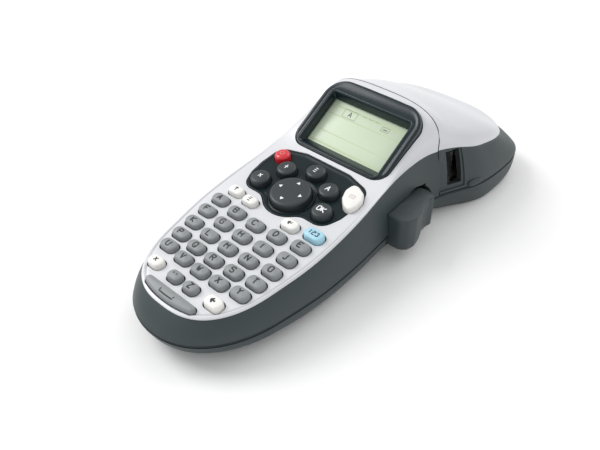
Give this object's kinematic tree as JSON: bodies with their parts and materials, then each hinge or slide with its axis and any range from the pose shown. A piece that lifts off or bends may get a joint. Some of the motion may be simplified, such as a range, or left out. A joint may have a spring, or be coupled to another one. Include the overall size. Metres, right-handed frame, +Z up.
{
  "type": "label maker",
  "caption": "Handheld label maker: long rounded grip with a full keypad, tilted display, silver printing head with a side tape slot and a squeeze lever for the cutter.",
  "frame": {"origin": "middle of the bounding box's foot, on the table under the middle of the body", "axes": "+Z up from the table, +Y along the body from the keypad end to the printing head, +X to the side of the tape slot and cutter lever"},
  "size_m": [0.0854, 0.1949, 0.0512],
  "materials": {
    "slate_plastic": "fine satin texture, dark grey-green",
    "silver_plastic": "pearl silver paint under a clear gloss",
    "bezel_black": "glossy near-black",
    "display_green": "pale green liquid crystal display behind a clear window",
    "board_green": "solder-masked laminate",
    "cell_wrap": "shrink-wrapped dry cell",
    "cassette_white": "off-white moulding",
    "inner_plastic": "natural acetal",
    "roller_rubber": "ground rubber sleeve on a steel shaft",
    "motor_steel": "plated steel",
    "blade_steel": "ground steel",
    "key_grey": "satin grey rubber-like keycap",
    "key_white": "satin white",
    "key_blue": "satin light blue",
    "key_dark": "satin dark grey",
    "key_red": "satin red"
  },
  "bodies": {
    "housing": {"rear_housing": "slate_plastic", "front_housing": "slate_plastic", "face_plate": "silver_plastic", "screen_bezel": "bezel_black", "lcd_module": "display_green", "circuit_board": "board_green", "batteries": "cell_wrap", "print_chassis": "inner_plastic", "tape_cassette": "cassette_white", "drive_motor": "motor_steel", "print_head": "motor_steel", "screws": "motor_steel"},
    "door": {"cassette_door": "silver_plastic"},
    "cover": {"battery_cover": "slate_plastic"},
    "lever": {"cutter_lever": "slate_plastic"},
    "blade": {"cutter_blade": "blade_steel"},
    "platen": {"platen_roller": "roller_rubber"},
    "pinion": {"motor_pinion": "inner_plastic"},
    "key_A": {"key_A": "key_grey"},
    "key_B": {"key_B": "key_grey"},
    "key_C": {"key_C": "key_grey"},
    "key_D": {"key_D": "key_grey"},
    "key_E": {"key_E": "key_grey"},
    "key_F": {"key_F": "key_grey"},
    "key_G": {"key_G": "key_grey"},
    "key_H": {"key_H": "key_grey"},
    "key_I": {"key_I": "key_grey"},
    "key_J": {"key_J": "key_grey"},
    "key_K": {"key_K": "key_grey"},
    "key_L": {"key_L": "key_grey"},
    "key_M": {"key_M": "key_grey"},
    "key_N": {"key_N": "key_grey"},
    "key_O": {"key_O": "key_grey"},
    "key_P": {"key_P": "key_grey"},
    "key_Q": {"key_Q": "key_grey"},
    "key_R": {"key_R": "key_grey"},
    "key_S": {"key_S": "key_grey"},
    "key_T": {"key_T": "key_grey"},
    "key_U": {"key_U": "key_grey"},
    "key_V": {"key_V": "key_grey"},
    "key_W": {"key_W": "key_grey"},
    "key_X": {"key_X": "key_grey"},
    "key_Y": {"key_Y": "key_grey"},
    "key_caps": {"key_caps": "key_white"},
    "key_style": {"key_style": "key_white"},
    "key_return": {"key_return": "key_white"},
    "key_delete": {"key_delete": "key_white"},
    "key_enter": {"key_enter": "key_white"},
    "key_symbol_left": {"key_symbol_left": "key_grey"},
    "key_symbol_right": {"key_symbol_right": "key_grey"},
    "key_numbers": {"key_numbers": "key_blue"},
    "key_space": {"key_space": "key_grey"},
    "key_power": {"key_power": "key_red"},
    "key_print": {"key_print": "key_white"},
    "nav_pad": {"nav_pad": "key_dark"},
    "key_cancel": {"key_cancel": "key_dark"},
    "key_format": {"key_format": "key_dark"},
    "key_settings": {"key_settings": "key_dark"},
    "key_insert": {"key_insert": "key_dark"},
    "key_ok": {"key_ok": "key_dark"}
  },
  "joints": [
    {"name": "door_hinge", "type": "hinge", "parent": "housing", "child": "door", "pos_m": [0, 0.0961, 0.0135], "axis": [-1, 0, 0], "range_deg": [0, 75]},
    {"name": "cover_slide", "type": "slide", "parent": "housing", "child": "cover", "axis": [0, -1, 0], "range_m": [0, 0.07]},
    {"name": "cutter_press", "type": "hinge", "parent": "housing", "child": "lever", "pos_m": [0.0278, -0.0006, 0.014], "axis": [0, 0, 1], "range_deg": [0, 12], "stiffness_Nm_per_rad": 1.2},
    {"name": "blade_slide", "type": "slide", "parent": "housing", "child": "blade", "axis": [0, -1, 0], "range_m": [0, 0.0045]},
    {"name": "platen_spin", "type": "hinge", "parent": "housing", "child": "platen", "pos_m": [0.0165, 0.04395, 0.014], "axis": [0, 0, 1], "continuous": true},
    {"name": "pinion_spin", "type": "hinge", "parent": "housing", "child": "pinion", "pos_m": [0.02549, 0.05205, 0.014], "axis": [0, 0, 1], "continuous": true},
    {"name": "key_A_press", "type": "slide", "parent": "housing", "child": "key_A", "axis": [0, 0.125, -0.9922], "range_m": [0, 0.0008], "stiffness_N_per_m": 900},
    {"name": "key_B_press", "type": "slide", "parent": "housing", "child": "key_B", "axis": [0, 0.125, -0.9922], "range_m": [0, 0.0008], "stiffness_N_per_m": 900},
    {"name": "key_C_press", "type": "slide", "parent": "housing", "child": "key_C", "axis": [0, 0.125, -0.9922], "range_m": [0, 0.0008], "stiffness_N_per_m": 900},
    {"name": "key_D_press", "type": "slide", "parent": "housing", "child": "key_D", "axis": [0, 0.125, -0.9922], "range_m": [0, 0.0008], "stiffness_N_per_m": 900},
    {"name": "key_E_press", "type": "slide", "parent": "housing", "child": "key_E", "axis": [0, 0.125, -0.9922], "range_m": [0, 0.0008], "stiffness_N_per_m": 900},
    {"name": "key_F_press", "type": "slide", "parent": "housing", "child": "key_F", "axis": [0, 0.125, -0.9922], "range_m": [0, 0.0008], "stiffness_N_per_m": 900},
    {"name": "key_G_press", "type": "slide", "parent": "housing", "child": "key_G", "axis": [0, 0.125, -0.9922], "range_m": [0, 0.0008], "stiffness_N_per_m": 900},
    {"name": "key_H_press", "type": "slide", "parent": "housing", "child": "key_H", "axis": [0, 0.125, -0.9922], "range_m": [0, 0.0008], "stiffness_N_per_m": 900},
    {"name": "key_I_press", "type": "slide", "parent": "housing", "child": "key_I", "axis": [0, 0.125, -0.9922], "range_m": [0, 0.0008], "stiffness_N_per_m": 900},
    {"name": "key_J_press", "type": "slide", "parent": "housing", "child": "key_J", "axis": [0, 0.125, -0.9922], "range_m": [0, 0.0008], "stiffness_N_per_m": 900},
    {"name": "key_K_press", "type": "slide", "parent": "housing", "child": "key_K", "axis": [0, 0.125, -0.9922], "range_m": [0, 0.0008], "stiffness_N_per_m": 900},
    {"name": "key_L_press", "type": "slide", "parent": "housing", "child": "key_L", "axis": [0, 0.125, -0.9922], "range_m": [0, 0.0008], "stiffness_N_per_m": 900},
    {"name": "key_M_press", "type": "slide", "parent": "housing", "child": "key_M", "axis": [0, 0.125, -0.9922], "range_m": [0, 0.0008], "stiffness_N_per_m": 900},
    {"name": "key_N_press", "type": "slide", "parent": "housing", "child": "key_N", "axis": [0, 0.125, -0.9922], "range_m": [0, 0.0008], "stiffness_N_per_m": 900},
    {"name": "key_O_press", "type": "slide", "parent": "housing", "child": "key_O", "axis": [0, 0.125, -0.9922], "range_m": [0, 0.0008], "stiffness_N_per_m": 900},
    {"name": "key_P_press", "type": "slide", "parent": "housing", "child": "key_P", "axis": [0, 0.125, -0.9922], "range_m": [0, 0.0008], "stiffness_N_per_m": 900},
    {"name": "key_Q_press", "type": "slide", "parent": "housing", "child": "key_Q", "axis": [0, 0.125, -0.9922], "range_m": [0, 0.0008], "stiffness_N_per_m": 900},
    {"name": "key_R_press", "type": "slide", "parent": "housing", "child": "key_R", "axis": [0, 0.125, -0.9922], "range_m": [0, 0.0008], "stiffness_N_per_m": 900},
    {"name": "key_S_press", "type": "slide", "parent": "housing", "child": "key_S", "axis": [0, 0.125, -0.9922], "range_m": [0, 0.0008], "stiffness_N_per_m": 900},
    {"name": "key_T_press", "type": "slide", "parent": "housing", "child": "key_T", "axis": [0, 0.125, -0.9922], "range_m": [0, 0.0008], "stiffness_N_per_m": 900},
    {"name": "key_U_press", "type": "slide", "parent": "housing", "child": "key_U", "axis": [0, 0.125, -0.9922], "range_m": [0, 0.0008], "stiffness_N_per_m": 900},
    {"name": "key_V_press", "type": "slide", "parent": "housing", "child": "key_V", "axis": [0, 0.125, -0.9922], "range_m": [0, 0.0008], "stiffness_N_per_m": 900},
    {"name": "key_W_press", "type": "slide", "parent": "housing", "child": "key_W", "axis": [0, 0.125, -0.9922], "range_m": [0, 0.0008], "stiffness_N_per_m": 900},
    {"name": "key_X_press", "type": "slide", "parent": "housing", "child": "key_X", "axis": [0, 0.125, -0.9922], "range_m": [0, 0.0008], "stiffness_N_per_m": 900},
    {"name": "key_Y_press", "type": "slide", "parent": "housing", "child": "key_Y", "axis": [0, 0.125, -0.9922], "range_m": [0, 0.0008], "stiffness_N_per_m": 900},
    {"name": "key_caps_press", "type": "slide", "parent": "housing", "child": "key_caps", "axis": [0, 0.125, -0.9922], "range_m": [0, 0.0008], "stiffness_N_per_m": 900},
    {"name": "key_style_press", "type": "slide", "parent": "housing", "child": "key_style", "axis": [0, 0.125, -0.9922], "range_m": [0, 0.0008], "stiffness_N_per_m": 900},
    {"name": "key_return_press", "type": "slide", "parent": "housing", "child": "key_return", "axis": [0, 0.125, -0.9922], "range_m": [0, 0.0008], "stiffness_N_per_m": 900},
    {"name": "key_delete_press", "type": "slide", "parent": "housing", "child": "key_delete", "axis": [0, 0.125, -0.9922], "range_m": [0, 0.0008], "stiffness_N_per_m": 900},
    {"name": "key_enter_press", "type": "slide", "parent": "housing", "child": "key_enter", "axis": [0, 0.125, -0.9922], "range_m": [0, 0.0008], "stiffness_N_per_m": 900},
    {"name": "key_symbol_left_press", "type": "slide", "parent": "housing", "child": "key_symbol_left", "axis": [0, 0.125, -0.9922], "range_m": [0, 0.0008], "stiffness_N_per_m": 900},
    {"name": "key_symbol_right_press", "type": "slide", "parent": "housing", "child": "key_symbol_right", "axis": [0, 0.125, -0.9922], "range_m": [0, 0.0008], "stiffness_N_per_m": 900},
    {"name": "key_numbers_press", "type": "slide", "parent": "housing", "child": "key_numbers", "axis": [0, 0.125, -0.9922], "range_m": [0, 0.0008], "stiffness_N_per_m": 900},
    {"name": "key_space_press", "type": "slide", "parent": "housing", "child": "key_space", "axis": [0, 0.125, -0.9922], "range_m": [0, 0.0008], "stiffness_N_per_m": 900},
    {"name": "key_power_press", "type": "slide", "parent": "housing", "child": "key_power", "axis": [0, 0.125, -0.9922], "range_m": [0, 0.0008], "stiffness_N_per_m": 900},
    {"name": "key_print_press", "type": "slide", "parent": "housing", "child": "key_print", "axis": [0, 0.125, -0.9922], "range_m": [0, 0.0008], "stiffness_N_per_m": 900},
    {"name": "nav_pad_press", "type": "slide", "parent": "housing", "child": "nav_pad", "axis": [0, 0.125, -0.9922], "range_m": [0, 0.0008], "stiffness_N_per_m": 900},
    {"name": "key_cancel_press", "type": "slide", "parent": "housing", "child": "key_cancel", "axis": [0, 0.125, -0.9922], "range_m": [0, 0.0008], "stiffness_N_per_m": 900},
    {"name": "key_format_press", "type": "slide", "parent": "housing", "child": "key_format", "axis": [0, 0.125, -0.9922], "range_m": [0, 0.0008], "stiffness_N_per_m": 900},
    {"name": "key_settings_press", "type": "slide", "parent": "housing", "child": "key_settings", "axis": [0, 0.125, -0.9922], "range_m": [0, 0.0008], "stiffness_N_per_m": 900},
    {"name": "key_insert_press", "type": "slide", "parent": "housing", "child": "key_insert", "axis": [0, 0.125, -0.9922], "range_m": [0, 0.0008], "stiffness_N_per_m": 900},
    {"name": "key_ok_press", "type": "slide", "parent": "housing", "child": "key_ok", "axis": [0, 0.125, -0.9922], "range_m": [0, 0.0008], "stiffness_N_per_m": 900}
  ],
  "couplings": [
    {"joint": "pinion_spin", "follows": "platen_spin", "ratio": -3},
    {"joint": "blade_slide", "follows": "cutter_press", "m_per_rad": 0.021}
  ]
}
